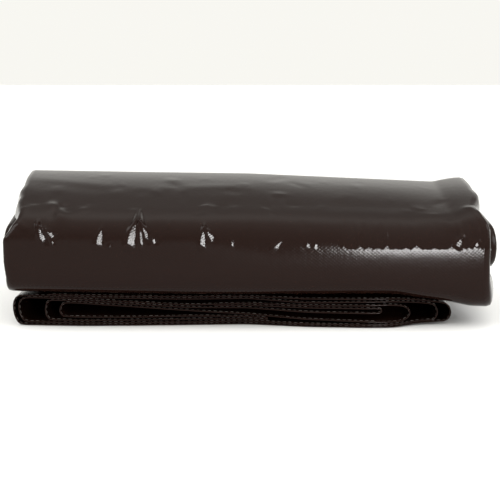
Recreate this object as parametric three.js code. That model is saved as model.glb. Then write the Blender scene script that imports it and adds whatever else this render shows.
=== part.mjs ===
// A heavy woven tarpaulin folded for storage, in millimetres, +Z up, +X to the right, the front towards -Y.
//
// It is one piece of cloth, folded twice. The first folding lays it back and forth across the width into a
// strip of ten layers. The second folding wraps that strip over itself from front to back into a packet.
// The strip's hemmed end stays in sight at the bottom of the front, with its layers and their folds seen
// edge on, and the strip's last bend hangs over it as one broad rounded front.
//
// The solid follows the cloth: the strip's section, a meander of ten layers, is carried along the wrap.

import * as THREE from 'three';

// Driving dimensions
const CLOTH = 1.4; // thickness of one layer
const PACKET_HEIGHT = 136; // at the middle of the top
const PASS_GAP = 1; // air between two passes of the strip
const STRIP_END_HEIGHT = 31; // of the loose layers at the hemmed end
const STRIP_END_Y = -104; // the hemmed end, 16 mm behind the foremost point of the front
const LAYER_COUNT = 10;
const PASS_COUNT = 5;

// The least distance between two points of a layer
const LEAST_STEP = 1.5;

// Heights of the passes, one above the other
const PASS_THICKNESS =
  (PACKET_HEIGHT - STRIP_END_HEIGHT - (PASS_COUNT - 1) * PASS_GAP) / (PASS_COUNT - 1);

// The wrap, seen from the side, in the order in which the strip runs. Each pass lies in a slot, counted from
// the floor, with the strip's outer face down or up. stops are the places where its section is given, and
// left and right are where the strip's sides lie.
const PASSES = [
  { slot: 0, outerFace: 'down', stops: [-84, -70, -18, 26, 70], left: -246, right: 238 },
  { slot: 4, outerFace: 'up', stops: [0, -70], left: -249, right: 248 },
  { slot: 1, outerFace: 'down', stops: [-18, 62], left: -248, right: 256 },
  { slot: 3, outerFace: 'up', stops: [-68], left: -251, right: 251 },
  { slot: 2, outerFace: 'down', stops: [56], left: -250, right: 252 },
];

// The bends between those passes. Each starts at its pass's last stop, and the reaches say how far the
// strip's outer and inner faces go beyond that. The front bend is a flattened face between two rounded
// corners, the tighter one where it lies on the strip's end: shoulder and corner are the powers that draw the
// upper and the lower half of its half ellipse out towards a square.
const BENDS = [
  { outerReach: 50, innerReach: 25, facets: 6, left: -249, right: 248 },
  { outerReach: 50, innerReach: 25, facets: 8, left: -246, right: 246, shoulder: 0.65, corner: 0.5 },
  { outerReach: 31, innerReach: 6, facets: 4, left: -250, right: 251 },
  { outerReach: 24, innerReach: 1.2, facets: 3, left: -251, right: 251 },
];
const STRIP_END_SIDES = { left: -241, right: 209 };

// The ten layers in the order in which the cloth runs through them, from one side hem to the other. level is
// a layer's place in the strip, from its outer face. heights are those of the layer at the hemmed end, at the
// places across the width that COLUMNS gives.
const COLUMNS = [-232, -150, -45, 75, 150, 212];
const LAYERS = [
  { level: 6, heights: [25.0, 25.3, 20.0, 20.0, 20.4, 22.0] },
  { level: 5, heights: [24.8, 24.4, 18.1, 15.2, 15.2, 19.2] },
  { level: 2, heights: [5.6, 5.5, 6.1, 3.9, 3.9, 10.2] },
  { level: 3, heights: [9.2, 8.9, 9.1, 5.9, 4.7, 12.6] },
  { level: 4, heights: [24.0, 22.3, 13.7, 7.6, 5.3, 15.6] },
  { level: 7, heights: [26.6, 26.5, 21.9, 22.5, 23.8, 25.0] },
  { level: 1, heights: [3.3, 2.9, 3.2, 2.8, 3.0, 8.2] },
  { level: 8, heights: [28.5, 28.4, 27.7, 25.4, 27.2, 27.6] },
  { level: 0, heights: [0.7, 0.7, 0.7, 0.7, 0.7, 5.4] },
  { level: 9, heights: [30.3, 30.3, 29.8, 29.6, 30.2, 30.2] },
];

// The folds between those layers. nose and reach are a fold's foremost place and its length at the hemmed
// end, and inset is how far its nose lies from the strip's side everywhere else. lean moves the nose of a
// loose fold up.
const FOLDS = [
  { side: 'right', nose: 136, reach: 7, inset: 20, facets: 3 },
  { side: 'left', nose: -208, reach: 9, inset: 9, facets: 3 },
  { side: 'right', nose: 20, reach: 3, inset: 15, facets: 3 },
  { side: 'left', nose: -193, reach: 12, inset: 16, facets: 3 },
  { side: 'right', nose: 166, reach: 24, inset: 12, facets: 3 },
  { side: 'left', nose: -235, reach: 16, inset: 5, lean: 0.3, facets: 3 },
  { side: 'right', nose: 195, reach: 10, inset: 5, facets: 3 },
  { side: 'left', nose: -241, reach: 18, inset: 0, lean: 0.3, facets: 4 },
  { side: 'right', nose: 209, reach: 13, inset: 0, facets: 4 },
];
const FIRST_EDGE = { atEnd: -35, inset: 200 }; // the side hem inside the strip
const FOLD_PRESSED = 0.55; // a settled fold's reach, as a share of half its height
const LAST_EDGE = { atEnd: -205, inset: 24 }; // the side hem on the strip's inner face

// How far the hemmed end stands out from STRIP_END_Y at each of the COLUMNS
const HEM_REACH = [-6, -1, -7, 3, 6, -9];

// The lengths over which the loose hemmed end settles into the even strip
const HEIGHTS_SETTLE = 70;
const NOSES_SETTLE = { from: 30, to: 170 };
const REACH_SETTLE = 45;

// The packet's own unevenness: its top falls to the right and towards the front, and bulges at the right
// end, the strip's end is thicker at the left, and the front droops where it overhangs the strip's end
const TOP_AT = { x: [-260, -45, 212, 260], height: [139.6, 136, 126, 132] };
const FRONT_FALL = { x: [-260, -45, 212, 260], depth: [16, 14, 4, 2], y: [-70, 70] };
const STRIP_TOP_AT = { x: [-260, -150, -45, 260], height: [34.8, 32.2, 31, 31] };
const DROOP = { x: [150, 212, 260], depth: [0, 10, 15], y: [-70, -18], upTo: 26 };
const SHOULDER = { left: 0.03, right: 0.008, y: [-70, 70], z: [100, 134] };

const mix = THREE.MathUtils.lerp;
const smooth = (value, from, to) => {
  const share = THREE.MathUtils.clamp((value - from) / (to - from), 0, 1);
  return share * share * (3 - 2 * share);
};

// A straight line between neighbouring table entries
function between(places, values, place) {
  let i = 0;
  while (i < places.length - 2 && place > places[i + 1]) i += 1;
  const share = THREE.MathUtils.clamp((place - places[i]) / (places[i + 1] - places[i]), 0, 1);
  return mix(values[i], values[i + 1], share);
}

// Heights of a slot's lower and upper face
function slotFaces(slot) {
  if (slot === 0) return [0, STRIP_END_HEIGHT];
  const low = STRIP_END_HEIGHT + PASS_GAP + (slot - 1) * (PASS_THICKNESS + PASS_GAP);
  return [low, low + PASS_THICKNESS];
}

// The strip's outer and inner face in a pass
function passFaces({ slot, outerFace }) {
  const [low, high] = slotFaces(slot);
  return outerFace === 'down' ? { outer: low, inner: high } : { outer: high, inner: low };
}

// Every station along the wrap: the places of the strip's two faces in the side view, the strip's sides, and
// the distance from the hemmed end
function wrapStations() {
  const faces = PASSES.map(passFaces);
  const marks = []; // left and right side at each stage's middle
  marks.push({ stage: 0, ...STRIP_END_SIDES });
  const stations = [];
  const add = (stage, outer, inner) => stations.push({ stage, outer, inner });

  add(0, [STRIP_END_Y, faces[0].outer], [STRIP_END_Y, faces[0].inner]);
  PASSES.forEach((pass, i) => {
    const from = i === 0 ? STRIP_END_Y : PASSES[i - 1].stops.at(-1);
    const to = pass.stops.at(-1);
    const { outer, inner } = faces[i];
    marks.push({ stage: 2 * i + 0.5, left: pass.left, right: pass.right });
    for (const y of pass.stops) add(2 * i + (y - from) / (to - from), [y, outer], [y, inner]);
    if (i === BENDS.length) return;
    const bend = BENDS[i];
    const next = faces[i + 1];
    const away = Math.sign(to);
    marks.push({ stage: 2 * i + 1.5, left: bend.left, right: bend.right });
    for (let k = 1; k <= bend.facets; k += 1) {
      const turn = (Math.PI * k) / bend.facets;
      const power = (2 * k > bend.facets ? bend.corner : bend.shoulder) ?? 1;
      const beyond = Math.max(Math.sin(turn), 0) ** power;
      const rise = Math.sign(Math.cos(turn)) * Math.abs(Math.cos(turn)) ** power;
      const point = (start, end, reach) => [
        to + away * reach * beyond,
        (start + end) / 2 + ((start - end) / 2) * rise,
      ];
      const place = k / bend.facets;
      add(
        2 * i + 1 + place,
        point(outer, next.outer, bend.outerReach),
        point(inner, next.inner, bend.innerReach),
      );
    }
  });

  const stages = marks.map((mark) => mark.stage);
  for (const station of stations) {
    station.left = between(stages, marks.map((mark) => mark.left), station.stage);
    station.right = between(stages, marks.map((mark) => mark.right), station.stage);
    station.fromEnd = station.stage <= 1 ? station.outer[0] - STRIP_END_Y : Infinity;
  }
  return stations;
}

// The height of a layer in the strip at one station: as the table gives it at the hemmed end, and evenly
// spaced further along
function layerHeight(row, x, station) {
  const thickness = Math.hypot(
    station.inner[0] - station.outer[0],
    station.inner[1] - station.outer[1],
  );
  const even = CLOTH / 2 + (row.level * (thickness - CLOTH)) / (LAYER_COUNT - 1);
  const loose = between(COLUMNS, row.heights, x);
  return mix(loose, even, smooth(station.fromEnd, 0, HEIGHTS_SETTLE));
}

// One fold's nose, reach, and the place where its two layers run into it
function foldPlace(fold, i, station) {
  const settled = smooth(station.fromEnd, NOSES_SETTLE.from, NOSES_SETTLE.to);
  const sign = fold.side === 'right' ? 1 : -1;
  const side = fold.side === 'right' ? station.right : station.left;
  const nose = mix(fold.nose, side - sign * fold.inset, settled);
  const x = nose - sign * fold.reach;
  const gap = layerHeight(LAYERS[i + 1], x, station) - layerHeight(LAYERS[i], x, station);
  const pressed = Math.max((FOLD_PRESSED * Math.abs(gap)) / 2, 1.8);
  const reach = mix(fold.reach, pressed, settled);
  return { sign, reach, root: nose - sign * reach, lean: (fold.lean ?? 0) * (1 - settled) };
}

// The meander at one station, as points of the cloth's middle with the direction to its left
function meander(station) {
  const folds = FOLDS.map((fold, i) => foldPlace(fold, i, station));
  const settled = smooth(station.fromEnd, NOSES_SETTLE.from, NOSES_SETTLE.to);
  const firstEdge = mix(FIRST_EDGE.atEnd, station.left + FIRST_EDGE.inset, settled);
  const lastEdge = mix(LAST_EDGE.atEnd, station.left + LAST_EDGE.inset, settled);
  const points = [];
  LAYERS.forEach((row, i) => {
    const runsRight = i % 2 === 0;
    const start = i === 0 ? firstEdge : folds[i - 1].root;
    const end = i === LAYERS.length - 1 ? lastEdge : folds[i].root;
    const inner = COLUMNS.slice(1);
    if (!runsRight) inner.reverse();
    const low = Math.min(start, end);
    const high = Math.max(start, end);
    const up = runsRight ? 1 : -1;
    const stops = [start, ...inner, end].map((x, k, all) => {
      const before = LEAST_STEP * k;
      const after = LEAST_STEP * (all.length - 1 - k);
      return runsRight
        ? THREE.MathUtils.clamp(x, low + before, high - after)
        : THREE.MathUtils.clamp(x, low + after, high - before);
    });
    for (const x of stops) points.push({ x, height: layerHeight(row, x, station), normal: [0, up] });
    if (i === folds.length) return;

    const { sign, reach, root, lean } = folds[i];
    const from = layerHeight(row, root, station);
    const to = layerHeight(LAYERS[i + 1], root, station);
    const half = (from - to) / 2; // positive where the cloth turns down
    const outward = up * Math.sign(half);
    const facets = FOLDS[i].facets;
    const widest = Math.sin((Math.PI * Math.floor(facets / 2)) / facets);
    for (let k = 1; k < facets; k += 1) {
      const turn = (Math.PI * k) / facets;
      const share = (Math.sin(turn) / widest) ** 0.6 + (lean * Math.sin(2 * turn)) / 2;
      points.push({
        x: root + sign * reach * share,
        height: (from + to) / 2 + half * Math.cos(turn),
        normal: [sign * outward * Math.sin(turn), up * Math.cos(turn)],
      });
    }
  });
  return points;
}

// The packet's own unevenness, as a smooth shift of space that keeps the layers apart
function settle(x, y, z) {
  const stripTop = between(STRIP_TOP_AT.x, STRIP_TOP_AT.height, x);
  const fall = between(FRONT_FALL.x, FRONT_FALL.depth, x) * between(FRONT_FALL.y, [1, 0], y);
  const top = between(TOP_AT.x, TOP_AT.height, x) - fall;
  let height =
    z <= STRIP_END_HEIGHT
      ? (z * stripTop) / STRIP_END_HEIGHT
      : stripTop +
        ((z - STRIP_END_HEIGHT) * (top - stripTop)) / (PACKET_HEIGHT - STRIP_END_HEIGHT);
  const droop = between(DROOP.x, DROOP.depth, x) * between(DROOP.y, [1, 0], y);
  const share =
    height <= STRIP_END_HEIGHT
      ? height / STRIP_END_HEIGHT
      : Math.max(0, 1 - (height - STRIP_END_HEIGHT) / DROOP.upTo);
  height -= droop * share;
  const pull =
    (x < 0 ? SHOULDER.left : SHOULDER.right) *
    between(SHOULDER.y, [1, 0], y) *
    between(SHOULDER.z, [0, 1], z);
  return [x * (1 - pull), y, height];
}

// One side of the cloth at one station, as points in space. side is 1 or -1.
function clothSide(station, side) {
  const { outer, inner } = station;
  const thickness = Math.hypot(inner[0] - outer[0], inner[1] - outer[1]);
  const inward = [(inner[0] - outer[0]) / thickness, (inner[1] - outer[1]) / thickness];
  const loose = 1 - smooth(station.fromEnd, 0, REACH_SETTLE);
  return meander(station).map(({ x, height, normal }) => {
    const shiftedX = x + (side * normal[0] * CLOTH) / 2;
    const depth = height + (side * normal[1] * CLOTH) / 2;
    const y = outer[0] + inward[0] * depth - loose * between(COLUMNS, HEM_REACH, shiftedX);
    const z = outer[1] + inward[1] * depth;
    return settle(shiftedX, y, z);
  });
}

// The cloth as one closed surface: both sides from station to station, the two side hems, and the two ends
function tarpGeometry() {
  const stations = wrapStations();
  const rings = stations.map((station) => {
    const back = clothSide(station, -1).reverse();
    return [...clothSide(station, 1), ...back];
  });
  const size = rings[0].length;
  const index = [];
  const quad = (a, b, c, d) => index.push(a, b, c, a, c, d);
  for (let s = 0; s < rings.length - 1; s += 1) {
    for (let k = 0; k < size; k += 1) {
      const next = (k + 1) % size;
      const [a, b] = [s * size + k, s * size + next];
      // every layer's quads are split along the same diagonal, so that twisted ones stay apart
      if (rings[s][next][0] > rings[s][k][0]) quad(a, b, b + size, a + size);
      else quad(b, b + size, a + size, a);
    }
  }
  const last = (rings.length - 1) * size;
  for (let k = 0; k < size / 2 - 1; k += 1) {
    quad(size - 1 - k, size - 2 - k, k + 1, k);
    quad(last + k, last + k + 1, last + size - 2 - k, last + size - 1 - k);
  }
  const geometry = new THREE.BufferGeometry();
  geometry.setAttribute('position', new THREE.Float32BufferAttribute(rings.flat(2), 3));
  geometry.setIndex(index);
  return geometry;
}

// The origin is at the middle of the packet's footprint, on the floor
const geometry = tarpGeometry();
geometry.computeBoundingBox();
const centre = geometry.boundingBox.getCenter(new THREE.Vector3());
geometry.translate(-centre.x, -centre.y, -geometry.boundingBox.min.z);

const material = new THREE.MeshStandardMaterial({ color: 0x2e2422, roughness: 0.3, metalness: 0 });
const tarp = new THREE.Mesh(geometry, material);
tarp.name = 'tarp';

const group = new THREE.Group();
group.add(tarp);
export default group;
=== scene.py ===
# %% [markdown]
# # A folded tarpaulin
#
# This notebook dresses a heavy, glossy tarpaulin that lies folded for storage. The cloth is one sheet,
# folded twice: back and forth across its width into a strip of ten layers, and then that strip wrapped
# over itself from front to back. The strip's hemmed end stays in sight under the broad rounded front.
#
# A cloth simulation could fold such a sheet, but nobody could steer fifty layers into a given packet. The
# folds follow two simple rules instead, so the cloth is worked out directly: a flat curve gives the
# strip's section, another gives the wrap, and the sheet is the first one carried along the second.

import math

import bpy
import numpy as np
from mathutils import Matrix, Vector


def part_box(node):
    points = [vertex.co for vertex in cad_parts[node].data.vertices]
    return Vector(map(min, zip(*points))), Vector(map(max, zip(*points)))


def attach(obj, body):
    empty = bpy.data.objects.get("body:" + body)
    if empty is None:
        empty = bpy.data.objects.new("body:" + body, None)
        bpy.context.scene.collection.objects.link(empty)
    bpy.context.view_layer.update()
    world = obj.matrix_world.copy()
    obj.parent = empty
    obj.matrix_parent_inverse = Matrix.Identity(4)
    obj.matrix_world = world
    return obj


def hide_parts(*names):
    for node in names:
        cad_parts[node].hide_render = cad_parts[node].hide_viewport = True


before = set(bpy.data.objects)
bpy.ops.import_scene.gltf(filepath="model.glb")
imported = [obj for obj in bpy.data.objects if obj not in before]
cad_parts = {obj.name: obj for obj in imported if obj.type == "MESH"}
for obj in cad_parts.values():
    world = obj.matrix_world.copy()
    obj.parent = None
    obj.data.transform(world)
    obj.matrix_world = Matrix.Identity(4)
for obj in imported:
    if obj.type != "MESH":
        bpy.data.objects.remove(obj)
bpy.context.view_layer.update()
cad_low, cad_high = (np.array(corner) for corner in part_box("tarp"))
print("solid packet, mm:", np.round((cad_high - cad_low) * 1000, 1))

# %% [markdown]
# ## The camera
#
# The picture is 500 pixels square, and near the packet's front a pixel is about a millimetre. The front
# shows 158 pixels of height and its top about 11 degrees of slope, which puts the eye 1.2 m in front of
# the packet and 0.3 m above the floor. A long lens at that distance keeps the picture's mild perspective.

# %% The camera
EYE_MM = (0, -1320, 319)
LOOK_AT_MM = (0, -119.4, 83)
IMAGE_PX = 500

eye_distance = math.dist(EYE_MM, LOOK_AT_MM)
camera_data = bpy.data.cameras.new("camera")
camera_data.sensor_fit = "HORIZONTAL"
camera_data.sensor_width = 36
camera_data.lens = camera_data.sensor_width * eye_distance / IMAGE_PX
camera_data.clip_end = 30
camera = bpy.data.objects.new("camera", camera_data)
camera.location = [value / 1000 for value in EYE_MM]
tilt = math.atan2(EYE_MM[2] - LOOK_AT_MM[2], LOOK_AT_MM[1] - EYE_MM[1])
camera.rotation_euler = (math.pi / 2 - tilt, 0, 0)
bpy.context.collection.objects.link(camera)
bpy.context.scene.camera = camera
print("lens, mm:", round(camera_data.lens, 1), "tilt, degrees:", round(math.degrees(tilt), 1))

# %% [markdown]
# ## The folding, as tables
#
# A few measured rows say everything about the folding. They are in millimetres, in the packet's own axes:
# X to the right, Y to the back, Z up. The strip's section is a meander, so each layer has a row with its
# heights at the hemmed end, and each fold a row with the place of its nose there. Further in, the layers
# lie evenly. A table is easier to check against the real cloth than a long list of points.

# %% The strip's ten layers
CLOTH = 1.0
HEM_CLOTH = 1.4
HEM_WIDTH = 30
STRIP_END_Y = -104
STRIP_END_HEIGHT = 31

COLUMNS = [-232, -173, -122, -61, 0, 61, 122, 150, 173, 212]
LAYERS = [
    {"level": 6, "heights": [25.0, 25.2, 23.0, 20.0, 20.2, 20.0, 20.0, 20.6, 21.2, 22.0]},
    {"level": 5, "heights": [24.8, 24.9, 22.4, 18.5, 17.6, 15.4, 15.0, 15.2, 16.4, 19.2]},
    {"level": 2, "heights": [5.6, 5.4, 5.6, 6.1, 5.9, 4.1, 3.9, 3.9, 5.6, 10.2]},
    {"level": 3, "heights": [9.2, 8.9, 8.6, 9.5, 8.2, 6.0, 4.8, 4.7, 7.0, 12.6]},
    {"level": 4, "heights": [24.0, 22.9, 19.9, 15.3, 10.8, 8.0, 6.2, 5.3, 8.4, 15.6]},
    {"level": 7, "heights": [26.6, 26.9, 24.4, 21.1, 22.4, 22.3, 23.0, 24.0, 24.8, 25.0]},
    {"level": 1, "heights": [3.3, 2.9, 3.0, 3.1, 3.4, 2.8, 2.9, 3.1, 4.6, 8.0]},
    {"level": 8, "heights": [28.5, 28.6, 28.2, 27.4, 27.6, 25.1, 27.0, 27.2, 27.0, 27.0]},
    {"level": 0, "heights": [0.7, 0.7, 0.7, 0.7, 0.7, 0.7, 0.7, 0.8, 2.6, 5.4]},
    {"level": 9, "heights": [30.3, 30.4, 30.2, 29.8, 29.6, 29.4, 29.9, 30.1, 30.2, 30.2]},
]
FOLDS = [
    {"side": 1, "nose": 136, "reach": 7, "inset": 20, "lean": 0},
    {"side": -1, "nose": -208, "reach": 9, "inset": 9, "lean": 0},
    {"side": 1, "nose": 20, "reach": 3, "inset": 15, "lean": 0},
    {"side": -1, "nose": -193, "reach": 12, "inset": 16, "lean": 0.1},
    {"side": 1, "nose": 166, "reach": 24, "inset": 12, "lean": 0},
    {"side": -1, "nose": -235.5, "reach": 12, "inset": 5, "lean": 0.12},
    {"side": 1, "nose": 195, "reach": 10, "inset": 5, "lean": 0},
    {"side": -1, "nose": -241, "reach": 12, "inset": 0, "lean": 0.12},
    {"side": 1, "nose": 209, "reach": 13, "inset": 0, "lean": 0},
]
FIRST_EDGE = {"at_end": -35, "inset": 200}
LAST_EDGE = {"at_end": -205, "inset": 24}
HEM_REACH = [-6, -2, -3, -6, -9, 2, 6, 5, -6, -10]  # how far the hem's edge comes forward at the columns
print("layers across the strip:", len(LAYERS), "folds:", len(FOLDS))

# %% [markdown]
# The wrap is the second curve, seen from the side: five straight passes joined by four bends. Every
# station along it has an outer and an inner point, between which the ten layers are shared out. Each row
# also tells how many stations its stretch gets, so that the rounded front, which shows most, is finest.
# The places along the wrap are counted in stages: every pass and every bend is one.

# %% The strip's wrap
PACKET_HEIGHT = 136
PASS_GAP = 1
PASS_THICKNESS = (PACKET_HEIGHT - STRIP_END_HEIGHT - 4 * PASS_GAP) / 4  # four passes lie on the strip's end

PASSES = [
    {"slot": 0, "outer": "down", "end_y": 70, "left": -246, "right": 238, "steps": 12},
    {"slot": 4, "outer": "up", "end_y": -70, "left": -249, "right": 248, "steps": 22},
    {"slot": 1, "outer": "down", "end_y": 62, "left": -248, "right": 262, "steps": 10},
    {"slot": 3, "outer": "up", "end_y": -68, "left": -251, "right": 255, "steps": 5},
    {"slot": 2, "outer": "down", "end_y": 56, "left": -250, "right": 254, "steps": 5},
]
BENDS = [
    {"outer_reach": 50, "inner_reach": 25, "left": -249, "right": 248, "steps": 18, "powers": (1, 1)},
    {"outer_reach": 50, "inner_reach": 25, "left": -246, "right": 246, "steps": 86, "powers": (0.45, 0.5)},
    {"outer_reach": 31, "inner_reach": 6, "left": -250, "right": 251, "steps": 9, "powers": (1, 1)},
    {"outer_reach": 24, "inner_reach": 1.2, "left": -251, "right": 256, "steps": 8, "powers": (1, 1)},
]
STRIP_END_SIDES = {"left": -241, "right": 209}
EDGES = {  # shifts of the sides to the right or left, read along the cloth from the back of the top
    "along": [0, 40, 75, 100, 118, 135, 150, 165, 178, 188, 196, 206, 240, 262, 300],
    "left": [0, 0, 1.5, -0.5, 2, 1, 4, 7, 7, 4, 3, 0, 0, 1.5, 0],
    "right": [0, 0, -1, 0.5, -2, -6, -9, -8.5, -6, -3, -2, -2.5, -3, -3, 0],
}
TOP_STARTS, FRONT_STARTS, INSIDE_STARTS = 2, 3, 4  # stages: the top, the front, and the first hidden pass
LAST_STAGE = 2 * len(PASSES) - 1
SIDES_EASED_OVER = 0.3  # stages
CREASED = {"bend": 1, "closer": 2, "up": 0.22, "reach": 0.34}  # where the front's stations lie closest
HEM_ROWS = [0, 0.15, 0.5, 1.1, 2.4, 4, 6.5, 10, 14, 19, 24.5, HEM_WIDTH]  # from the hem's edge
FAR = 1e6  # past every place in the packet
print("passes:", len(PASSES), "of thickness, mm:", PASS_THICKNESS)


def slot_faces(slot):
    """The lower and upper height of a slot: the strip's end is the lowest, and four equal passes follow."""
    if slot == 0:
        return 0, STRIP_END_HEIGHT
    low = STRIP_END_HEIGHT + PASS_GAP + (slot - 1) * (PASS_THICKNESS + PASS_GAP)
    return low, low + PASS_THICKNESS


def pass_faces(row):
    """The heights of the strip's outer and inner face in one pass."""
    low, high = slot_faces(row["slot"])
    return (low, high) if row["outer"] == "down" else (high, low)


def bend_shape(turn, powers):
    """How far a bend has gone out, and up or down, at an angle: sine and cosine, raised to a power in the
    upper half and to another in the lower half. A power below 1 draws that half out towards a square."""
    power = np.where(turn > np.pi / 2, powers[1], powers[0])
    return np.abs(np.sin(turn)) ** power, np.sign(np.cos(turn)) * np.abs(np.cos(turn)) ** power


def bend_turns(steps, powers, closer):
    """The angles of a bend's stations. They come evenly along the curve, but closer together by a factor
    around the place, a little above its middle, where the creases are."""
    fine = np.linspace(0, np.pi, 4001)
    out, up = bend_shape(fine, powers)
    density = 1 + (closer - 1) * np.exp(-(((up - CREASED["up"]) / CREASED["reach"]) ** 4))
    steps_along = np.hypot(np.diff(out), np.diff(up)) * (density[1:] + density[:-1]) / 2
    walked = np.concatenate([[0], np.cumsum(steps_along)])
    return np.interp(np.linspace(0, walked[-1], steps + 1)[1:], walked, fine)


def wrap_stations(hem):
    """Stations along the wrap, as arrays. A pass is a straight line between its two ends. A bend is half
    an ellipse for each face, y = end + reach * out, z = middle + half * up. The strip's left and right
    sides follow the rows of passes and bends, shifted as EDGES says. hem asks for the stations of the
    hem alone, which lie closer together towards its edge."""
    stage, outer, inner = [], [], []
    for i, row in enumerate(PASSES):
        start_y = STRIP_END_Y if i == 0 else PASSES[i - 1]["end_y"]
        away = np.sign(row["end_y"] - start_y)
        if i == 0:
            hem_y = STRIP_END_Y + np.array(HEM_ROWS)
            y = hem_y if hem else np.linspace(hem_y[-1], row["end_y"], row["steps"])
        else:
            y = np.linspace(start_y, row["end_y"], row["steps"] + 1)[1:]
        faces = pass_faces(row)
        stage.append(2 * i + (y - start_y) / (row["end_y"] - start_y))
        outer.append(np.stack([y, np.full_like(y, faces[0])], axis=1))
        inner.append(np.stack([y, np.full_like(y, faces[1])], axis=1))
        if hem:
            break
        if i == len(BENDS):
            continue
        bend = BENDS[i]
        ends = pass_faces(PASSES[i + 1])
        turn = bend_turns(bend["steps"], bend["powers"], CREASED["closer"] if i == CREASED["bend"] else 1)
        out, up = bend_shape(turn, bend["powers"])
        stage.append(2 * i + 1 + turn / np.pi)
        for points, start, end, reach in (
            (outer, faces[0], ends[0], bend["outer_reach"]),
            (inner, faces[1], ends[1], bend["inner_reach"]),
        ):
            bend_y = row["end_y"] + away * reach * out
            bend_z = (start + end) / 2 + (start - end) / 2 * up
            points.append(np.stack([bend_y, bend_z], axis=1))
    stage = np.concatenate(stage)
    marks = [0] + [k + 0.5 for k in range(LAST_STAGE)]
    rows = [PASSES[k // 2] if k % 2 == 0 else BENDS[k // 2] for k in range(LAST_STAGE)]
    outer = np.concatenate(outer)
    walked = np.concatenate([[0], np.cumsum(np.hypot(*np.diff(outer, axis=0).T))])
    walked = walked - np.interp(TOP_STARTS, stage, walked, right=FAR)
    sides = {
        side: eased(marks, [STRIP_END_SIDES[side]] + [row[side] for row in rows], stage, SIDES_EASED_OVER)
        + np.interp(walked, EDGES["along"], EDGES[side])
        for side in ("left", "right")
    }
    return {
        "outer": outer,
        "inner": np.concatenate(inner),
        "stage": stage,
        "walked": walked,
        "from_end": np.where(stage <= 1, outer[:, 0] - STRIP_END_Y, FAR),
        **sides,
    }


def smooth(value, start, end):
    """0 before start, 1 after end, and 3t^2 - 2t^3 between them."""
    share = np.clip((value - start) / (end - start), 0, 1)
    return share * share * (3 - 2 * share)


def eased(places, values, place, width):
    """A table read along straight lines and averaged over nine places, up to a width to either side, so
    that its corners turn softly. The middle places weigh most: 1 + cos(0.9 pi offset)."""
    offsets = np.linspace(-1, 1, 9)
    weights = 1 + np.cos(np.pi * offsets * 0.9)
    readings = [w * np.interp(place + width * o, places, values) for o, w in zip(offsets, weights)]
    return sum(readings) / weights.sum()


# %% [markdown]
# ## The meander at every station
#
# Each layer is a straight run from one fold to the next, and each fold is half an ellipse, pressed flat.
# All stations are worked out at once: a layer or fold is an array with one row for each station. At the
# hemmed end the heights come from the table. Within 70 mm they give way to even spacing.


# %% The meander
HEIGHTS_SETTLE = 70  # from the hemmed end to where the layers lie evenly
HEIGHTS_EASED_OVER = 16
NOSES_SETTLE = (30, 170)  # where the folds begin and end to come into line
FOLD_PRESSED = 0.55  # a settled fold's reach, as a share of half its height
LEAST_REACH = 1.8
FOLD_POWER = 0.6  # below 1, so that a fold is blunt


def layer_height(level, heights, x, stations):
    """Height above the strip's outer face: the table's curve at the hemmed end, blended into an even share
    of the strip's thickness further in."""
    span = stations["inner"] - stations["outer"]
    thickness = np.hypot(span[:, 0], span[:, 1])[:, None]
    even = HEM_CLOTH / 2 + level * (thickness - HEM_CLOTH) / (len(LAYERS) - 1)
    loose = eased(COLUMNS, heights, x, HEIGHTS_EASED_OVER)
    return loose + (even - loose) * smooth(stations["from_end"], 0, HEIGHTS_SETTLE)[:, None]


def meander(stations, counts, fold_count):
    """x and height of the cloth's middle, with a row for each station and a column for each place along
    the meander. A layer runs straight from fold to fold. A fold is x = root + reach * (sin(turn)^0.6 +
    lean * sin(2 turn) / 2), where lean makes its nose hang to one side near the hemmed end."""
    settled = smooth(stations["from_end"], *NOSES_SETTLE)[:, None]
    left, right = stations["left"][:, None], stations["right"][:, None]
    folds = []
    for i, fold in enumerate(FOLDS):
        side = right if fold["side"] > 0 else left
        nose = fold["nose"] + (side - fold["side"] * fold["inset"] - fold["nose"]) * settled
        start = nose - fold["side"] * fold["reach"]
        rows = LAYERS[i], LAYERS[i + 1]
        gap = np.subtract(*[layer_height(row["level"], row["heights"], start, stations) for row in rows])
        pressed = np.maximum(FOLD_PRESSED * np.abs(gap) / 2, LEAST_REACH)
        reach = fold["reach"] + (pressed - fold["reach"]) * settled
        folds.append((nose - fold["side"] * reach, reach))
    first = FIRST_EDGE["at_end"] + (left + FIRST_EDGE["inset"] - FIRST_EDGE["at_end"]) * settled
    last = LAST_EDGE["at_end"] + (left + LAST_EDGE["inset"] - LAST_EDGE["at_end"]) * settled
    xs, hs = [], []
    for i, row in enumerate(LAYERS):
        start = first if i == 0 else folds[i - 1][0]
        end = last if i == len(FOLDS) else folds[i][0]
        share = np.linspace(0, 1, counts[row["level"]])
        if row["level"]:
            share = (1 - np.cos(np.pi * share)) / 2
        x = start + (end - start) * share
        xs.append(x)
        hs.append(layer_height(row["level"], row["heights"], x, stations))
        if i == len(FOLDS):
            break
        root, reach = folds[i]
        turn = np.linspace(0, np.pi, fold_count + 2)[1:-1]
        lean = FOLDS[i]["lean"] * (1 - settled)
        below = LAYERS[i + 1]
        ends = [layer_height(r["level"], r["heights"], root, stations) for r in (row, below)]
        out = np.sin(turn) ** FOLD_POWER + lean * np.sin(2 * turn) / 2
        xs.append(root + FOLDS[i]["side"] * reach * out)
        hs.append((ends[0] + ends[1]) / 2 + (ends[0] - ends[1]) / 2 * np.cos(turn))
    return np.concatenate(xs, axis=1), np.concatenate(hs, axis=1)


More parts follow.
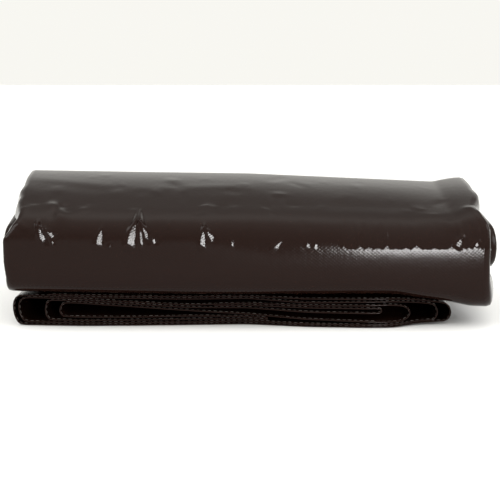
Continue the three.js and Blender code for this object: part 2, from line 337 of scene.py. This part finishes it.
# %% [markdown]
# ## The packet's own unevenness
#
# No folded packet is a clean block: this one falls off to the right, its top bulges at that end, and its
# front sags where it overhangs the strip's end. Moving single layers for that would push them through each
# other. A smooth shift of space moves all of them together, and they stay apart.
#
# The same shift flattens the front's upper part, which leans back. At the right it tips back along a crisp
# crimped crease, whose line zigzags in small teeth, as a coated cloth does when it is pressed over an edge.

# %% The unevenness
TOP_AT = {
    "x": [-260, -120, 0, 212, 222, 236, 260],
    "height": [139.4, 137, 135.4, 125.8, 128.2, 130.4, 131.5],
    "eased_over": 6,
}
FRONT_FALL = {"x": [-260, -45, 150, 212, 260], "depth": [22, 21, 18, 14, 9], "eased_over": 30}
FALL_BACK, FALL_STEEP, FALL_CORNER, FALL_END = 75, -55, -98, -118
STRIP_TOP_AT = {"x": [-260, -150, -60, 260], "height": [34.8, 32.2, 31, 31], "eased_over": 20}
DROOP = {
    "x": [150, 205, 228, 250, 260],
    "depth": [0, 8, 14, 15, 13],
    "eased_over": 8,
    "y": [-70, -18],
    "up_to": 26,
}
SHOULDER = {"left": 0.030, "right": 0.008, "y": [-70, 70], "z": [100, 134]}
LEAN = {
    "x": [-60, 20, 235, 260],
    "curve": [0, 0.0048, 0.0048, 0.0042],
    "eased_over": 9,
    "above": 61.5,
    "grows": 25,
    "y": [-70, 20],
}
CRIMP = {"x": [84, 104, 236, 244], "slope": [0, 0.16, 0.16, 0.05], "above": 82.8, "reach": 22, "round": 0.5}
TEETH = {"count": 48, "from": 80, "pitch": (2.6, 6.4), "height": 9, "share": (0.1, 1)}

crimping = np.random.default_rng(11)
crimp_x = TEETH["from"] + np.cumsum(crimping.uniform(*TEETH["pitch"], TEETH["count"]))
every_other = np.arange(TEETH["count"]) % 2
crimp_z = CRIMP["above"] + TEETH["height"] * crimping.uniform(*TEETH["share"], TEETH["count"]) * every_other
print("mean pitch of the crimped crease, mm:", round(np.diff(crimp_x).mean(), 1))


def across_packet(table, key, x):
    """A table's value at places across the packet, with its corners eased over the table's own width."""
    return eased(table["x"], table[key], x, table["eased_over"])


def front_fall(y):
    """How far the top has come down on its way to the front, from 0 to 1: a slope that grows evenly from
    the back to the steep part, stays there as far as the corner, and shrinks evenly around it."""
    growing, steady, shrinking = FALL_BACK - FALL_STEEP, FALL_STEEP - FALL_CORNER, FALL_CORNER - FALL_END
    whole = growing / 2 + steady + shrinking / 2
    first = np.clip(FALL_BACK - y, 0, growing) ** 2 / (2 * growing)
    second = np.clip(FALL_STEEP - y, 0, steady)
    last = (shrinking**2 - np.clip(y - FALL_END, 0, shrinking) ** 2) / (2 * shrinking)
    return (first + second + last) / whole


def settle(x, y, z):
    """Shifts every point. Heights are stretched to the top's own line, the overhang is let down, and the
    upper corners are drawn in. Above a line the front leans back by half its curve times the height
    squared, and then straight on. Above the crimped crease it leans back by a slope more."""
    strip_top = across_packet(STRIP_TOP_AT, "height", x)
    top = across_packet(TOP_AT, "height", x) - across_packet(FRONT_FALL, "depth", x) * front_fall(y)
    low = z * strip_top / STRIP_END_HEIGHT
    share = (z - STRIP_END_HEIGHT) / (PACKET_HEIGHT - STRIP_END_HEIGHT)
    height = np.where(z <= STRIP_END_HEIGHT, low, strip_top + share * (top - strip_top))
    droop = across_packet(DROOP, "depth", x) * np.interp(y, DROOP["y"], [1, 0])
    fade = np.interp(height, [0, STRIP_END_HEIGHT, STRIP_END_HEIGHT + DROOP["up_to"]], [0, 1, 0])
    pull = np.where(x < 0, SHOULDER["left"], SHOULDER["right"])
    pull = pull * np.interp(y, SHOULDER["y"], [1, 0]) * smooth(z, SHOULDER["z"][0], SHOULDER["z"][1])
    over = height - LEAN["above"]
    lean = np.clip(over, 0, LEAN["grows"]) ** 2 / 2 + LEAN["grows"] * np.maximum(over - LEAN["grows"], 0)
    lean = lean * across_packet(LEAN, "curve", x)
    over = height - np.interp(x, crimp_x, crimp_z)
    sharp = np.clip(over, 0, CRIMP["round"]) ** 2 / (2 * CRIMP["round"])
    sharp = sharp + np.clip(over - CRIMP["round"], 0, CRIMP["reach"])
    lean = (lean + np.interp(x, CRIMP["x"], CRIMP["slope"]) * sharp) * np.interp(y, LEAN["y"], [1, 0])
    return x * (1 - pull), y + lean, height - droop * fade


# %% [markdown]
# ## The creases
#
# The film makes the cloth stiff, so it doesn't drape. It breaks into small flats with crisp edges where the
# front turns, and into long soft waves on the top. These are listed one by one. The many slight dents that
# handling leaves are drawn by chance. A crease moves the outer layers of the strip and dies away over the
# layers below, as real ones do.
#
# A flat is a small leaf of the front that lies in a plane of its own. Its two ends are given by their
# places across and their heights, and its plane by the way it faces: turned to a side by its own angle, and
# up by the angle that mirrors the low lamp. A wave lies between places given across and along the cloth
# from the back of the top.

# %% The flats and the waves
CREASE_DEPTH = 12  # from the packet's outside to where a crease has died away
FLATS = [
    {"top": (-213, 111), "foot": (-205, 90), "width": 3.6, "yaw": 16.5},
    {"top": (-207, 105), "foot": (-195, 95), "width": 2.8, "yaw": 16.0},
    {"top": (-200, 94), "foot": (-196, 88), "width": 1.8, "yaw": 16.0},
    {"top": (-184, 97), "foot": (-184, 92), "width": 1.2, "yaw": 15.5},
    {"top": (-148, 106), "foot": (-152, 86), "width": 3.6, "yaw": 14.5},
    {"top": (-138, 91), "foot": (-141, 85), "width": 1.6, "yaw": 14.0},
    {"top": (-113, 116), "foot": (-121, 85), "width": 4.4, "yaw": 13.5},
    {"top": (-111, 117), "foot": (-108, 86), "width": 2.1, "yaw": 13.0},
    {"top": (-110, 115), "foot": (-101, 92), "width": 2.1, "yaw": 13.0},
    {"top": (-100, 97), "foot": (-94, 89), "width": 1.9, "yaw": 13.0},
    {"top": (-46, 108), "foot": (-48, 85), "width": 2.9, "yaw": 10.0},
    {"top": (-46, 107), "foot": (-36, 92), "width": 2.3, "yaw": 10.0},
    {"top": (-19, 94), "foot": (-18, 86), "width": 1.3, "yaw": 8.0},
    {"top": (34, 95), "foot": (23, 83), "width": 1.7, "yaw": 6.5},
    {"top": (58, 92), "foot": (57, 85), "width": 1.5, "yaw": 4.0},
    {"top": (66, 91), "foot": (64, 84), "width": 1.3, "yaw": 3.0},
    {"top": (214, 97), "foot": (207, 85), "width": 3.2, "yaw": 1.0},
    {"top": (229, 93), "foot": (226, 86), "width": 2.0, "yaw": 0.0},
]
FLAT_FACES_UP = 6.4  # degrees
FLAT_STANDS_OUT = 0.25
WAVES = [
    {"from": (-240, 50), "to": (-120, 92), "width": 12, "height": 0.25},
    {"from": (-245, 72), "to": (-150, 104), "width": 12, "height": -0.2},
    {"from": (-120, 92), "to": (0, 74), "width": 12, "height": 0.4},
    {"from": (-210, 140), "to": (-190, 186), "width": 7, "height": 2.4},
    {"from": (-196, 146), "to": (-206, 184), "width": 5, "height": -1.2},
    {"from": (-78, 176), "to": (-82, 192), "width": 2.5, "height": 0.5},
    {"from": (22, 110), "to": (26, 184), "width": 4, "height": 0.45},
    {"from": (36, 120), "to": (34, 190), "width": 4, "height": 0.4},
    {"from": (118, 174), "to": (112, 200), "width": 3.5, "height": 0.8},
    {"from": (140, 166), "to": (128, 192), "width": 3.5, "height": 0.6},
    {"from": (-240, 186), "to": (-222, 196), "width": 3, "height": 1.2},
    {"from": (226, 150), "to": (238, 180), "width": 4, "height": 1.2},
]
print("flats:", len(FLATS), "waves:", len(WAVES))

# %% The small dents
DENTS = {
    "count": 90,
    "across": (-236, 232),
    "along": (25, 205),
    "turn": (math.pi / 2, 0.5),  # the middle one and the spread
    "length": (10, 34),
    "width": (3.5, 9),
    "height": 0.2,  # at a width of 6
    "deeper": {"along": [100, 150], "times": [1, 2.6]},
}
dented = np.random.default_rng(7)


def small_dents():
    """Rows for the slight dents: short waves that run mostly from back to front, with places, lengths and
    turns drawn by chance, and about as many dents as bulges. They are deeper where the front turns."""
    rows = []
    for _ in range(DENTS["count"]):
        middle = np.array([dented.uniform(*DENTS["across"]), dented.uniform(*DENTS["along"])])
        turn, length = dented.normal(*DENTS["turn"]), dented.uniform(*DENTS["length"])
        half = length / 2 * np.array([np.cos(turn), np.sin(turn)])
        width = dented.uniform(*DENTS["width"])
        deeper = np.interp(middle[1], DENTS["deeper"]["along"], DENTS["deeper"]["times"])
        height = DENTS["height"] * dented.normal() * width / 6 * deeper
        rows.append({"from": middle - half, "to": middle + half, "width": width, "height": height})
    return rows


WAVES += small_dents()
print("waves and dents:", len(WAVES))

# %% How a crease moves the cloth
WAVE_ENDS = (-0.15, 0.3, 0.7, 1.15)
FLAT_ENDS = (-0.08, 0.1, 0.85, 1.2)
FLAT_WIDENS = {"top": 0.4, "more": 1.0, "by": 0.6}
FLAT_TOUCHES = 0.6  # of the way from its top to its foot
OUTER_CLOTH = 0.9  # only the outer layer follows a crease by more than this share


def along_segment(across, up, start, end):
    """Place along a straight segment, from 0 to 1, and distance to its side."""
    way = np.subtract(end, start)
    length = np.hypot(*way)
    way = way / length
    along = ((across - start[0]) * way[0] + (up - start[1]) * way[1]) / length
    return along, (across - start[0]) * way[1] - (up - start[1]) * way[0]


def runs_out(along, ends):
    """1 in the middle of a segment, eased to 0 outwards between the first and the last two of four places."""
    return smooth(along, ends[0], ends[1]) * (1 - smooth(along, ends[2], ends[3]))


def wave_height(x, v):
    """How far the waves stand out: bell curves around their lines, which run out at both ends."""
    height = np.zeros(np.broadcast(x, v).shape)
    for wave in WAVES:
        along, aside = along_segment(x, v, wave["from"], wave["to"])
        height += wave["height"] * runs_out(along, WAVE_ENDS) * np.exp(-((aside / wave["width"]) ** 2))
    return height


def flatten(x, y, z, share):
    """Moves the front into the flats' planes, y = front + x tan(yaw) + z tan(up), counted from a place in
    the leaf's lower half where the plane touches the front. A flat is narrow at its top, where it starts
    as a crease, and widens downwards. share says how much each point follows."""
    if share.max() == 0:
        return y
    for flat in FLATS:
        along, aside = along_segment(x, z, flat["top"], flat["foot"])
        widened = FLAT_WIDENS["top"] + FLAT_WIDENS["more"] * smooth(along, 0, FLAT_WIDENS["by"])
        width = flat["width"] * widened
        window = np.exp(-((aside / width) ** 6)) * runs_out(along, FLAT_ENDS)
        middle = np.add(np.multiply(flat["top"], 1 - FLAT_TOUCHES), np.multiply(flat["foot"], FLAT_TOUCHES))
        nearest = np.argmin((x - middle[0]) ** 2 + (z - middle[1]) ** 2 + FAR * (share < OUTER_CLOTH))
        plane = y.flat[nearest] - FLAT_STANDS_OUT + (x - middle[0]) * math.tan(math.radians(flat["yaw"]))
        plane = plane + (z - middle[1]) * math.tan(math.radians(FLAT_FACES_UP))
        y = y + window * share * (plane - y)
    return y


# %% [markdown]
# ## From the flat curve to the sheet
#
# The cloth's middle surface comes first, as one grid. Its direction in every point follows from its
# neighbours in the grid, and half the thickness to either side gives the two faces of the cloth. That keeps
# the thickness true in every fold. A Solidify modifier would do the same, but here the hem's rounded edge
# needs its own thickness.

# %% The middle surface
PACKET_MIDDLE_MM = (1.97, 0)  # of the tables' own axes, where the solid packet has its origin
REACH_SETTLES = 45  # from the hemmed end to where the uneven hem's line has faded
REACH_EASED_OVER = 14


def cloth_middle(stations, counts, fold_count):
    """Grid of points: the place on the wrap, moved inwards by the layer's height less the waves, then
    settled, and last moved into the flats."""
    x, height = meander(stations, counts, fold_count)
    follows = np.clip(1 - height / CREASE_DEPTH, 0, 1)
    height = height - wave_height(x, stations["walked"][:, None]) * follows
    span = stations["inner"] - stations["outer"]
    inward = span / np.hypot(span[:, 0], span[:, 1])[:, None]
    y = stations["outer"][:, :1] + inward[:, :1] * height
    z = stations["outer"][:, 1:] + inward[:, 1:] * height
    loose = 1 - smooth(stations["from_end"], 0, REACH_SETTLES)[:, None]
    y = y - loose * eased(COLUMNS, HEM_REACH, x, REACH_EASED_OVER)
    x, y, z = settle(x, y, z)
    x, y = x - PACKET_MIDDLE_MM[0], y - PACKET_MIDDLE_MM[1]
    in_front = (stations["stage"] > FRONT_STARTS) & (stations["stage"] < INSIDE_STARTS)
    y = flatten(x, y, z, follows * in_front[:, None])
    return np.stack([x, y, z], axis=2)


def grid_normals(points):
    """Unit normals of a grid: the cross product of its two directions."""
    along = np.gradient(points, axis=0)
    across = np.gradient(points, axis=1)
    normal = np.cross(along, across)
    return normal / np.maximum(np.linalg.norm(normal, axis=2, keepdims=True), 1e-9)


def lengths(points, axis):
    """Distance walked along one direction of a grid, from its start, in millimetres."""
    steps = np.linalg.norm(np.diff(points, axis=axis), axis=2)
    start = np.zeros_like(np.take(steps, [0], axis=axis))
    return np.concatenate([start, np.cumsum(steps, axis=axis)], axis=axis)


# %% A sheet with two faces
def sheet_object(name, points, normal, thickness, uv):
    """Closes a grid into a sheet: its upper and lower faces lie half the thickness to either side, and
    strips of faces close the four rims. thickness has a value for each row of the grid."""
    rows, columns = points.shape[:2]
    half = np.asarray(thickness)[:, None, None] / 2
    vertices = np.concatenate([points + normal * half, points - normal * half]).reshape(-1, 3) / 1000
    index = np.arange(rows * columns).reshape(rows, columns)
    under = index + rows * columns
    a, b, c, d = index[:-1, :-1], index[:-1, 1:], index[1:, 1:], index[1:, :-1]
    quads = [np.stack([a, d, c, b], axis=-1).reshape(-1, 4)]
    quads.append(np.stack([a, b, c, d], axis=-1).reshape(-1, 4) + rows * columns)
    rims = (
        (index[0], under[0]),
        (index[:, -1], under[:, -1]),
        (index[-1][::-1], under[-1][::-1]),
        (index[:, 0][::-1], under[:, 0][::-1]),
    )
    for upper, lower in rims:
        quads.append(np.stack([upper[:-1], upper[1:], lower[1:], lower[:-1]], axis=1))
    quads = np.concatenate(quads)
    places = np.tile(uv.reshape(-1, 2) / 1000, (2, 1))
    return mesh_object(name, vertices, quads, places)


def mesh_object(name, vertices, quads, places):
    """Puts vertices, four-sided faces and a place on the cloth for each vertex into a mesh."""
    mesh = bpy.data.meshes.new(name)
    mesh.vertices.add(len(vertices))
    mesh.vertices.foreach_set("co", vertices.astype(np.float32).ravel())
    mesh.loops.add(quads.size)
    mesh.loops.foreach_set("vertex_index", quads.astype(np.int32).ravel())
    mesh.polygons.add(len(quads))
    mesh.polygons.foreach_set("loop_start", np.arange(0, quads.size, 4, dtype=np.int32))
    mesh.polygons.foreach_set("use_smooth", np.ones(len(quads), dtype=bool))
    mesh.update(calc_edges=True)
    mesh.validate()
    layer = mesh.uv_layers.new(name="cloth")
    layer.data.foreach_set("uv", places[quads.ravel()].astype(np.float32).ravel())
    mesh.set_sharp_from_angle(angle=math.radians(50))
    piece = bpy.data.objects.new(name, mesh)
    bpy.context.collection.objects.link(piece)
    return piece


# %% The wrapped cloth
# The wrap is made in four pieces that share their border rows, which keeps each of them light. Their
# shading is told the directions of the whole grid, and runs over those borders without a break.
LAYER_COLUMNS, OUTER_COLUMNS, FOLD_COLUMNS = 12, 380, 7
SETTLED_ROW = 40  # a row in the top, past which the strip's width hardly changes

body_counts = {level: LAYER_COLUMNS for level in range(len(LAYERS))}
body_counts[0] = OUTER_COLUMNS
body_stations = wrap_stations(hem=False)
body_points = cloth_middle(body_stations, body_counts, FOLD_COLUMNS)
body_normals = grid_normals(body_points)
body_along = body_stations["walked"] - body_stations["walked"][0] + HEM_WIDTH
body_across = lengths(body_points[SETTLED_ROW][None], 1)[0]
body_uv = np.stack(np.meshgrid(body_across, body_along), axis=2)
stretches = {
    "tarp_underside": (0, TOP_STARTS),
    "tarp_top": (TOP_STARTS, FRONT_STARTS),
    "tarp_front": (FRONT_STARTS, INSIDE_STARTS),
    "tarp_inside": (INSIDE_STARTS, LAST_STAGE),
}
wrapped, wrapped_lengths = [], []
for name, (first_stage, last_stage) in stretches.items():
    stage = body_stations["stage"]
    rows = np.flatnonzero((stage > first_stage - 1e-6) & (stage < last_stage + 1e-6))
    normal = body_normals[rows]
    piece = sheet_object(name, body_points[rows], normal, np.full(len(rows), CLOTH), body_uv[rows])
    piece.data.normals_split_custom_set_from_vertices(np.concatenate([normal, -normal]).reshape(-1, 3))
    wrapped.append(piece)
    walked = lengths(body_points[rows], 0)[-1]
    widths = np.linalg.norm(np.diff(body_points[rows], axis=1), axis=2).mean(axis=0)
    wrapped_lengths.append(np.average((walked[1:] + walked[:-1]) / 2, weights=widths))
    print(name, "rows:", len(rows), "faces:", len(piece.data.polygons), "mm:", round(wrapped_lengths[-1]))
print("flat size, mm:", round(body_across[-1]), "by", round(sum(wrapped_lengths) + HEM_WIDTH))

# %% The hem
# The hem is a little thicker than the rest of the cloth, and its edge is thinned so that it looks rounded.
HEM_COLUMNS, HEM_FOLD_COLUMNS = 90, 9
HEM_LENGTH_ROW = 3  # near the hem's edge
HEM_EDGE = {"at": [0, 0.15, 0.5, 1.1], "thickness": [0.35, 0.68, 0.92, 1]}

hem_counts = {level: HEM_COLUMNS for level in range(len(LAYERS))}
hem_stations = wrap_stations(hem=True)
hem_points = cloth_middle(hem_stations, hem_counts, HEM_FOLD_COLUMNS)
hem_along = hem_stations["from_end"]
hem_across = lengths(hem_points[HEM_LENGTH_ROW][None], 1)[0]
hem_uv = np.stack(np.meshgrid(hem_across, hem_along), axis=2)
roundness = np.interp(hem_along, HEM_EDGE["at"], HEM_EDGE["thickness"])
tarp_hem = sheet_object("tarp_hem", hem_points, grid_normals(hem_points), HEM_CLOTH * roundness, hem_uv)
print("hem:", hem_points.shape[:2], "faces:", len(tarp_hem.data.polygons))

# %% [markdown]
# ## The stitching
#
# A line of stitches holds the hem close to its edge, on both faces. Each stitch is a short piece of thread
# that rises from the cloth and dips back into it. One function makes all of them at once: the stitch's
# middle line is read from the hem's grid, and a small ring of points is carried along it. Some stitches
# were pulled tighter than others, so their thickness is drawn by chance, and the tightest nearly vanish.

# %% The stitching
STITCH = {"from_edge": 2.6, "pitch": 5.8, "length": 3.6, "radius": 0.24, "rings": 5, "sides": 6}
TENSION = (0.25, 1.15)  # a stitch's thickness, as a share of the thread's
RISES = {"from": 0.08, "over": 0.84}  # half turns of the sine that a stitch's line follows
SUNK = 0.55  # the share of its thickness by which a stitch is pulled into the cloth
THIN_END = 0.35
tension = np.random.default_rng(3)


def stitch_line(points, along, side):
    """Threads along the hem: for every stitch, rings of points around a line that stands off the cloth at
    its middle and sinks into the cloth at both ends, as the root of a sine over most of a half turn."""
    normal = grid_normals(points) * side
    row = np.interp(STITCH["from_edge"], along, np.arange(len(along)))
    low, share = int(row), row - int(row)
    line = points[low] * (1 - share) + points[low + 1] * share
    up = normal[low + 1]
    walked = lengths(line[None], 1)[0]
    starts = np.arange(STITCH["pitch"], walked[-1] - STITCH["pitch"], STITCH["pitch"])
    steps = np.linspace(0, 1, STITCH["rings"])
    places = starts[:, None] + STITCH["length"] * steps
    at = [np.interp(places, walked, line[:, k]) for k in range(3)]
    ups = np.stack([np.interp(places, walked, up[:, k]) for k in range(3)], axis=-1)
    ups /= np.linalg.norm(ups, axis=-1, keepdims=True)
    centre = np.stack(at, axis=-1)
    rise = np.sin(np.pi * (RISES["from"] + RISES["over"] * steps)) ** 0.5
    sizes = STITCH["radius"] * tension.uniform(*TENSION, (len(starts), 1))
    centre = centre + ups * (HEM_CLOTH / 2 + sizes * (rise - SUNK))[..., None]
    forward = np.gradient(centre, axis=1)
    forward /= np.linalg.norm(forward, axis=-1, keepdims=True)
    sideways = np.cross(forward, ups)
    angle = np.linspace(0, 2 * np.pi, STITCH["sides"] + 1)[:-1, None]
    radius = sizes * (THIN_END + (1 - THIN_END) * rise)
    ring = np.cos(angle) * sideways[..., None, :] + np.sin(angle) * ups[..., None, :]
    return (centre[..., None, :] + radius[..., None, None] * ring).reshape(-1, 3), len(starts)


def tube_faces(stitches, rings, sides):
    """Faces of many short six-sided tubes: quads between neighbouring rings, and two quads on each end."""
    base = np.arange(stitches)[:, None, None] * rings * sides
    ring = np.arange(rings - 1)[None, :, None] * sides
    k = np.arange(sides)[None, None, :]
    following = (k + 1) % sides
    low, high = base + ring, base + ring + sides
    wall = np.stack([low + k, low + following, high + following, high + k], axis=-1).reshape(-1, 4)
    start = np.arange(stitches)[:, None] * rings * sides
    end = start + (rings - 1) * sides
    caps = [start + [3, 2, 1, 0], start + [5, 4, 3, 0], end + [0, 1, 2, 3], end + [0, 3, 4, 5]]
    return np.concatenate([wall, *caps])


thread_points, thread_faces, made = [], [], 0
for face in (1, -1):
    points, count = stitch_line(hem_points, hem_along, face)
    earlier = sum(len(p) for p in thread_points)
    thread_faces.append(tube_faces(count, STITCH["rings"], STITCH["sides"]) + earlier)
    thread_points.append(points)
    made += count
thread_points = np.concatenate(thread_points)
hem_stitching = mesh_object(
    "hem_stitching", thread_points / 1000, np.concatenate(thread_faces), thread_points[:, :2] / 1000
)
print("stitches:", made, "faces:", len(hem_stitching.data.polygons))

# %% [markdown]
# ## The cloth's material
#
# The cloth is woven of flat plastic tapes, 2 mm wide, and coated on both faces with a glossy film. The
# film takes on the weave's low relief and fine wrinkles of its own, and both only show where a light is
# mirrored. So the colour is plain and very dark, since nearly all the light that comes off such a film is
# mirrored, and the relief is a bump. The weave follows the cloth's own UV map, because a pattern in space
# would not run around the folds.


# %% Small helpers for the nodes
def new_material(name, base, roughness):
    """A material with one shader, whose even values are set on the shader's own sockets."""
    material = bpy.data.materials.new(name)
    material.use_nodes = True
    shader = material.node_tree.nodes["Principled BSDF"]
    shader.inputs["Base Color"].default_value = (*base, 1)
    shader.inputs["Roughness"].default_value = roughness
    return material, shader


def add_node(material, kind, links=None, **values):
    """A node with its values set, and with inputs linked from other nodes' outputs."""
    node = material.node_tree.nodes.new(kind)
    for name, value in values.items():
        setattr(node, name, value)
    for name, source in (links or {}).items():
        if isinstance(source, bpy.types.NodeSocket):
            material.node_tree.links.new(source, node.inputs[name])
        else:
            node.inputs[name].default_value = source
    return node


def maths(material, operation, *values):
    """A Math node's result for one or two values or sockets."""
    node = add_node(material, "ShaderNodeMath", dict(enumerate(values)), operation=operation)
    return node.outputs[0]


# %% The coated cloth
TAPE = 0.0021
FILM_COLOUR = (0.0088, 0.0035, 0.0024)
FILM_IOR = 1.2  # low, so that the film mirrors little except where it is seen at a slant

film, film_shader = new_material("coated_cloth", FILM_COLOUR, roughness=0.1)
film_shader.inputs["IOR"].default_value = FILM_IOR
place = add_node(film, "ShaderNodeTexCoord").outputs["UV"]
split = add_node(film, "ShaderNodeSeparateXYZ", {"Vector": place})
half_waves = [maths(film, "MULTIPLY", split.outputs[axis], math.pi / TAPE) for axis in (0, 1)]
weave = maths(film, "MULTIPLY", *(maths(film, "SINE", turns) for turns in half_waves))
stretched = {"Vector": place, "Scale": (1.0, 0.35, 1.0)}
crimped = add_node(film, "ShaderNodeMapping", stretched).outputs["Vector"]
crimps = add_node(
    film, "ShaderNodeTexNoise", {"Vector": crimped, "Scale": 260.0, "Detail": 2.0, "Roughness": 0.5}
).outputs["Fac"]
weave_bump = add_node(
    film, "ShaderNodeBump", {"Height": weave, "Strength": 0.19, "Distance": 0.0001}
).outputs["Normal"]
crimp_bump = add_node(
    film, "ShaderNodeBump", {"Height": crimps, "Strength": 0.14, "Distance": 0.0006, "Normal": weave_bump}
).outputs["Normal"]
film.node_tree.links.new(crimp_bump, film_shader.inputs["Normal"])
for piece in (*wrapped, tarp_hem):
    piece.data.materials.append(film)

# %% The thread
THREAD_COLOUR = (0.07, 0.062, 0.056)

thread, _ = new_material("brown_thread", THREAD_COLOUR, roughness=0.45)
hem_stitching.data.materials.append(thread)

# %% [markdown]
# ## Telling the frame about the pieces
#
# The hem and the wrapped cloth are one sheet in five meshes, so each of them stands for the solid packet
# and rides with it, as the stitches do. Their flat sizes, printed with the pieces above, are the lengths
# walked along the two curves.

# %% Pieces and the frame
for piece in (*wrapped, tarp_hem, hem_stitching):
    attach(piece, "root")
    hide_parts("tarp")

# %% [markdown]
# ## Floor and light
#
# The packet lies in a plain pale studio. What its glossy film shows is mostly the room around it, so the
# surroundings are a world whose brightness depends on direction: brightest overhead, softer towards the
# floor, and dim part of the way up behind the packet, which the shoulder mirrors. Two large lamps light the
# sides. A low strip light in front, to the right, draws the long highlight.

# %% The floor
FLOOR_HEIGHT = -0.0004  # the cloth's lowest point

floor_mesh = bpy.data.meshes.new("floor")
floor_mesh.from_pydata([(-4, -4, 0), (4, -4, 0), (4, 4, 0), (-4, 4, 0)], [], [(0, 1, 2, 3)])
floor = bpy.data.objects.new("floor", floor_mesh)
floor.location.z = FLOOR_HEIGHT
bpy.context.collection.objects.link(floor)
floor_paint, _ = new_material("pale_floor", (0.86, 0.86, 0.86), roughness=0.7)
floor_mesh.materials.append(floor_paint)

# %% The surroundings
world = bpy.data.worlds.new("studio")
world.use_nodes = True
bpy.context.scene.world = world
background = world.node_tree.nodes["Background"]
direction = add_node(world, "ShaderNodeTexCoord").outputs["Generated"]
heading = add_node(world, "ShaderNodeSeparateXYZ", {"Vector": direction})

BRIGHTEST = 3
BEHIND = [
    (0, 0.31),
    (0.2, 0.33),
    (0.3, 0.23),
    (0.36, 0.17),
    (0.43, 0.1),
    (0.5, 0.1),
    (0.64, 0.17),
    (0.77, 0.36),
    (0.9, 0.6),
    (1, 0.68),
]
IN_FRONT = [(0, 0.27), (0.15, 0.31), (0.3, 0.38), (0.6, 0.46), (0.8, 0.55), (1, 0.66)]


def brightness_by_height(height, rows):
    """A ramp of greys over the height of the direction, from level to straight up."""
    node = add_node(world, "ShaderNodeValToRGB", {"Fac": height})
    ramp = node.color_ramp
    ramp.interpolation = "B_SPLINE"
    while len(ramp.elements) < len(rows):
        ramp.elements.new(0.5)
    for element, (place_on_ramp, grey) in zip(ramp.elements, rows):
        element.position = place_on_ramp
        element.color = (grey, grey, grey, 1)
    return node.outputs["Color"]


behind = brightness_by_height(heading.outputs["Z"], BEHIND)
in_front = brightness_by_height(heading.outputs["Z"], IN_FRONT)
turned = add_node(
    world,
    "ShaderNodeMapRange",
    {"Value": heading.outputs["Y"], "From Min": -0.15, "From Max": 0.15},
    interpolation_type="SMOOTHSTEP",
).outputs["Result"]
difference = maths(world, "SUBTRACT", behind, in_front)
level = maths(world, "ADD", in_front, maths(world, "MULTIPLY", turned, difference))
world.node_tree.links.new(maths(world, "MULTIPLY", level, BRIGHTEST), background.inputs["Strength"])
background.inputs["Color"].default_value = (1, 0.99, 0.94, 1)


# %% The lamps
def softbox(name, place_mm, aim_mm, size_mm, watts):
    """A rectangular area light that faces a point."""
    lamp = bpy.data.lights.new(name, "AREA")
    lamp.shape = "RECTANGLE"
    lamp.size, lamp.size_y = (value / 1000 for value in size_mm)
    lamp.energy = watts
    holder = bpy.data.objects.new(name, lamp)
    holder.location = [value / 1000 for value in place_mm]
    way = np.subtract(aim_mm, place_mm)
    holder.rotation_euler = (
        math.atan2(math.hypot(way[0], way[1]), -way[2]),
        0,
        math.atan2(way[1], way[0]) - math.pi / 2,
    )
    bpy.context.collection.objects.link(holder)


softbox("left_side", (-1800, -500, 1250), (0, -300, 0), (1200, 1200), 20)
softbox("right_side", (1800, -500, 1250), (0, -300, 0), (1200, 1200), 20)
softbox("low_strip", (348, -1350, 120), (0, -110, 80), (270, 120), 8.6)
bpy.context.scene.view_settings.view_transform = "Standard"  # the tones as they are, with no film curve
print("lamps:", [light.name for light in bpy.data.lights])
